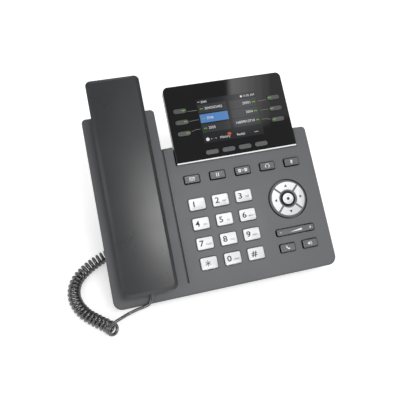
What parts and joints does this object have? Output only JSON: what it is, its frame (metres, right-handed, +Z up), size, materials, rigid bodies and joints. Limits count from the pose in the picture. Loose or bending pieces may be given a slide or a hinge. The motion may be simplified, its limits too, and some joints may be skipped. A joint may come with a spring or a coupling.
{
  "type": "desk ip phone",
  "caption": "Tilted desk telephone with a corded handset at the left, a dial keypad, a navigation ring and a raised colour display with side keys.",
  "frame": {"origin": "centre of the phone's own box at the height of the desk, cord left out", "axes": "+Z up, -Y towards the user, +X to the user's right"},
  "size_m": [0.2518, 0.18, 0.1563],
  "materials": {
    "housing": "fine satin grey plastic",
    "bezel": "dark satin frame",
    "lens": "glossy black",
    "screen": "lit colour display",
    "board": "green circuit board",
    "silicone": "soft silicone",
    "speaker": "paper cone in a moulded frame",
    "socket": "black moulded plastic",
    "steel": "zinc-plated steel",
    "foot": "black rubber",
    "silver_key": "silver-white satin caps",
    "dark_key": "dark grey satin caps",
    "pill_key": "grey satin caps",
    "handset_plastic": "dark grey satin plastic",
    "cord": "smooth black cord",
    "capsule": "metal capsule"
  },
  "bodies": {
    "base": {"front_housing": "housing", "rear_housing": "housing", "display_bezel": "bezel", "display_lens": "lens", "display_cover": "housing", "lcd_module": "screen", "main_board": "board", "key_mat": "silicone", "loudspeaker": "speaker", "network_jacks": "socket", "cord_jacks": "socket", "power_jack": "socket", "housing_screws": "steel", "stand": "housing", "rubber_feet": "foot", "cord_coil": "cord", "handset_lead": "cord", "base_lead": "cord", "base_plug": "cord"},
    "handset": {"handset_cover": "handset_plastic", "handset_shell": "handset_plastic", "ear_receiver": "capsule", "microphone": "capsule", "handset_jack": "socket", "handset_screws": "steel", "handset_plug": "cord"},
    "key_1": {"key_1": "silver_key"},
    "key_2": {"key_2": "silver_key"},
    "key_3": {"key_3": "silver_key"},
    "key_4": {"key_4": "silver_key"},
    "key_5": {"key_5": "silver_key"},
    "key_6": {"key_6": "silver_key"},
    "key_7": {"key_7": "silver_key"},
    "key_8": {"key_8": "silver_key"},
    "key_9": {"key_9": "silver_key"},
    "key_star": {"key_star": "silver_key"},
    "key_0": {"key_0": "silver_key"},
    "key_hash": {"key_hash": "silver_key"},
    "message_key": {"message_key": "dark_key"},
    "hold_key": {"hold_key": "dark_key"},
    "transfer_key": {"transfer_key": "dark_key"},
    "headset_key": {"headset_key": "dark_key"},
    "conference_key": {"conference_key": "dark_key"},
    "line_key_1": {"line_key_1": "pill_key"},
    "line_key_2": {"line_key_2": "pill_key"},
    "line_key_3": {"line_key_3": "pill_key"},
    "line_key_4": {"line_key_4": "pill_key"},
    "line_key_5": {"line_key_5": "pill_key"},
    "line_key_6": {"line_key_6": "pill_key"},
    "soft_key_1": {"soft_key_1": "pill_key"},
    "soft_key_2": {"soft_key_2": "pill_key"},
    "soft_key_3": {"soft_key_3": "pill_key"},
    "soft_key_4": {"soft_key_4": "pill_key"},
    "call_key": {"call_key": "dark_key"},
    "speaker_key": {"speaker_key": "dark_key"},
    "volume_rocker": {"volume_rocker": "dark_key"},
    "ok_key": {"ok_key": "silver_key"},
    "nav_ring": {"nav_ring": "silver_key"},
    "nav_rubber": {"nav_rubber": "silicone"},
    "hook_switch": {"hook_switch": "handset_plastic"}
  },
  "joints": [
    {"name": "handset_lift", "type": "slide", "parent": "base", "child": "handset", "axis": [0, -0.5592, 0.829], "range_m": [0, 0.06]},
    {"name": "hook_switch_rise", "type": "slide", "parent": "base", "child": "hook_switch", "axis": [0, -0.5592, 0.829], "range_m": [0, 0.003]},
    {"name": "key_1_press", "type": "slide", "parent": "base", "child": "key_1", "axis": [0, 0.5592, -0.829], "range_m": [0, 0.0008], "stiffness_N_per_m": 150, "springref_m": -0.001},
    {"name": "key_2_press", "type": "slide", "parent": "base", "child": "key_2", "axis": [0, 0.5592, -0.829], "range_m": [0, 0.0008], "stiffness_N_per_m": 150, "springref_m": -0.001},
    {"name": "key_3_press", "type": "slide", "parent": "base", "child": "key_3", "axis": [0, 0.5592, -0.829], "range_m": [0, 0.0008], "stiffness_N_per_m": 150, "springref_m": -0.001},
    {"name": "key_4_press", "type": "slide", "parent": "base", "child": "key_4", "axis": [0, 0.5592, -0.829], "range_m": [0, 0.0008], "stiffness_N_per_m": 150, "springref_m": -0.001},
    {"name": "key_5_press", "type": "slide", "parent": "base", "child": "key_5", "axis": [0, 0.5592, -0.829], "range_m": [0, 0.0008], "stiffness_N_per_m": 150, "springref_m": -0.001},
    {"name": "key_6_press", "type": "slide", "parent": "base", "child": "key_6", "axis": [0, 0.5592, -0.829], "range_m": [0, 0.0008], "stiffness_N_per_m": 150, "springref_m": -0.001},
    {"name": "key_7_press", "type": "slide", "parent": "base", "child": "key_7", "axis": [0, 0.5592, -0.829], "range_m": [0, 0.0008], "stiffness_N_per_m": 150, "springref_m": -0.001},
    {"name": "key_8_press", "type": "slide", "parent": "base", "child": "key_8", "axis": [0, 0.5592, -0.829], "range_m": [0, 0.0008], "stiffness_N_per_m": 150, "springref_m": -0.001},
    {"name": "key_9_press", "type": "slide", "parent": "base", "child": "key_9", "axis": [0, 0.5592, -0.829], "range_m": [0, 0.0008], "stiffness_N_per_m": 150, "springref_m": -0.001},
    {"name": "key_star_press", "type": "slide", "parent": "base", "child": "key_star", "axis": [0, 0.5592, -0.829], "range_m": [0, 0.0008], "stiffness_N_per_m": 150, "springref_m": -0.001},
    {"name": "key_0_press", "type": "slide", "parent": "base", "child": "key_0", "axis": [0, 0.5592, -0.829], "range_m": [0, 0.0008], "stiffness_N_per_m": 150, "springref_m": -0.001},
    {"name": "key_hash_press", "type": "slide", "parent": "base", "child": "key_hash", "axis": [0, 0.5592, -0.829], "range_m": [0, 0.0008], "stiffness_N_per_m": 150, "springref_m": -0.001},
    {"name": "message_key_press", "type": "slide", "parent": "base", "child": "message_key", "axis": [0, 0.5592, -0.829], "range_m": [0, 0.0008], "stiffness_N_per_m": 150, "springref_m": -0.001},
    {"name": "hold_key_press", "type": "slide", "parent": "base", "child": "hold_key", "axis": [0, 0.5592, -0.829], "range_m": [0, 0.0008], "stiffness_N_per_m": 150, "springref_m": -0.001},
    {"name": "transfer_key_press", "type": "slide", "parent": "base", "child": "transfer_key", "axis": [0, 0.5592, -0.829], "range_m": [0, 0.0008], "stiffness_N_per_m": 150, "springref_m": -0.001},
    {"name": "headset_key_press", "type": "slide", "parent": "base", "child": "headset_key", "axis": [0, 0.5592, -0.829], "range_m": [0, 0.0008], "stiffness_N_per_m": 150, "springref_m": -0.001},
    {"name": "conference_key_press", "type": "slide", "parent": "base", "child": "conference_key", "axis": [0, 0.5592, -0.829], "range_m": [0, 0.0008], "stiffness_N_per_m": 150, "springref_m": -0.001},
    {"name": "line_key_1_press", "type": "slide", "parent": "base", "child": "line_key_1", "axis": [0, 0.5592, -0.829], "range_m": [0, 0.0006], "stiffness_N_per_m": 150, "springref_m": -0.001},
    {"name": "line_key_2_press", "type": "slide", "parent": "base", "child": "line_key_2", "axis": [0, 0.5592, -0.829], "range_m": [0, 0.0006], "stiffness_N_per_m": 150, "springref_m": -0.001},
    {"name": "line_key_3_press", "type": "slide", "parent": "base", "child": "line_key_3", "axis": [0, 0.5592, -0.829], "range_m": [0, 0.0006], "stiffness_N_per_m": 150, "springref_m": -0.001},
    {"name": "line_key_4_press", "type": "slide", "parent": "base", "child": "line_key_4", "axis": [0, 0.5592, -0.829], "range_m": [0, 0.0006], "stiffness_N_per_m": 150, "springref_m": -0.001},
    {"name": "line_key_5_press", "type": "slide", "parent": "base", "child": "line_key_5", "axis": [0, 0.5592, -0.829], "range_m": [0, 0.0006], "stiffness_N_per_m": 150, "springref_m": -0.001},
    {"name": "line_key_6_press", "type": "slide", "parent": "base", "child": "line_key_6", "axis": [0, 0.5592, -0.829], "range_m": [0, 0.0006], "stiffness_N_per_m": 150, "springref_m": -0.001},
    {"name": "soft_key_1_press", "type": "slide", "parent": "base", "child": "soft_key_1", "axis": [0, 0.5592, -0.829], "range_m": [0, 0.0006], "stiffness_N_per_m": 150, "springref_m": -0.001},
    {"name": "soft_key_2_press", "type": "slide", "parent": "base", "child": "soft_key_2", "axis": [0, 0.5592, -0.829], "range_m": [0, 0.0006], "stiffness_N_per_m": 150, "springref_m": -0.001},
    {"name": "soft_key_3_press", "type": "slide", "parent": "base", "child": "soft_key_3", "axis": [0, 0.5592, -0.829], "range_m": [0, 0.0006], "stiffness_N_per_m": 150, "springref_m": -0.001},
    {"name": "soft_key_4_press", "type": "slide", "parent": "base", "child": "soft_key_4", "axis": [0, 0.5592, -0.829], "range_m": [0, 0.0006], "stiffness_N_per_m": 150, "springref_m": -0.001},
    {"name": "call_key_press", "type": "slide", "parent": "base", "child": "call_key", "axis": [0, 0.5592, -0.829], "range_m": [0, 0.0008], "stiffness_N_per_m": 150, "springref_m": -0.001},
    {"name": "speaker_key_press", "type": "slide", "parent": "base", "child": "speaker_key", "axis": [0, 0.5592, -0.829], "range_m": [0, 0.0008], "stiffness_N_per_m": 150, "springref_m": -0.001},
    {"name": "ok_key_press", "type": "slide", "parent": "base", "child": "ok_key", "axis": [0, 0.5592, -0.829], "range_m": [0, 0.0008], "stiffness_N_per_m": 150, "springref_m": -0.001},
    {"name": "volume_rocker_tilt", "type": "hinge", "parent": "base", "child": "volume_rocker", "pos_m": [0.0714, -0.04625, 0.0398], "axis": [0, 0.829, 0.5592], "range_deg": [-2.2, 2.2], "stiffness_Nm_per_rad": 0.02},
    {"name": "nav_up_down", "type": "hinge", "parent": "base", "child": "nav_rubber", "pos_m": [0.0714, -0.02163, 0.05749], "axis": [1, 0, 0], "range_deg": [-2.2, 2.2], "stiffness_Nm_per_rad": 0.03},
    {"name": "nav_left_right", "type": "hinge", "parent": "nav_rubber", "child": "nav_ring", "pos_m": [0.0714, -0.02163, 0.05749], "axis": [0, 0.829, 0.5592], "range_deg": [-2.2, 2.2], "stiffness_Nm_per_rad": 0.03}
  ],
  "couplings": [
    {"joint": "hook_switch_rise", "follows": "handset_lift", "ratio": 0.05}
  ]
}
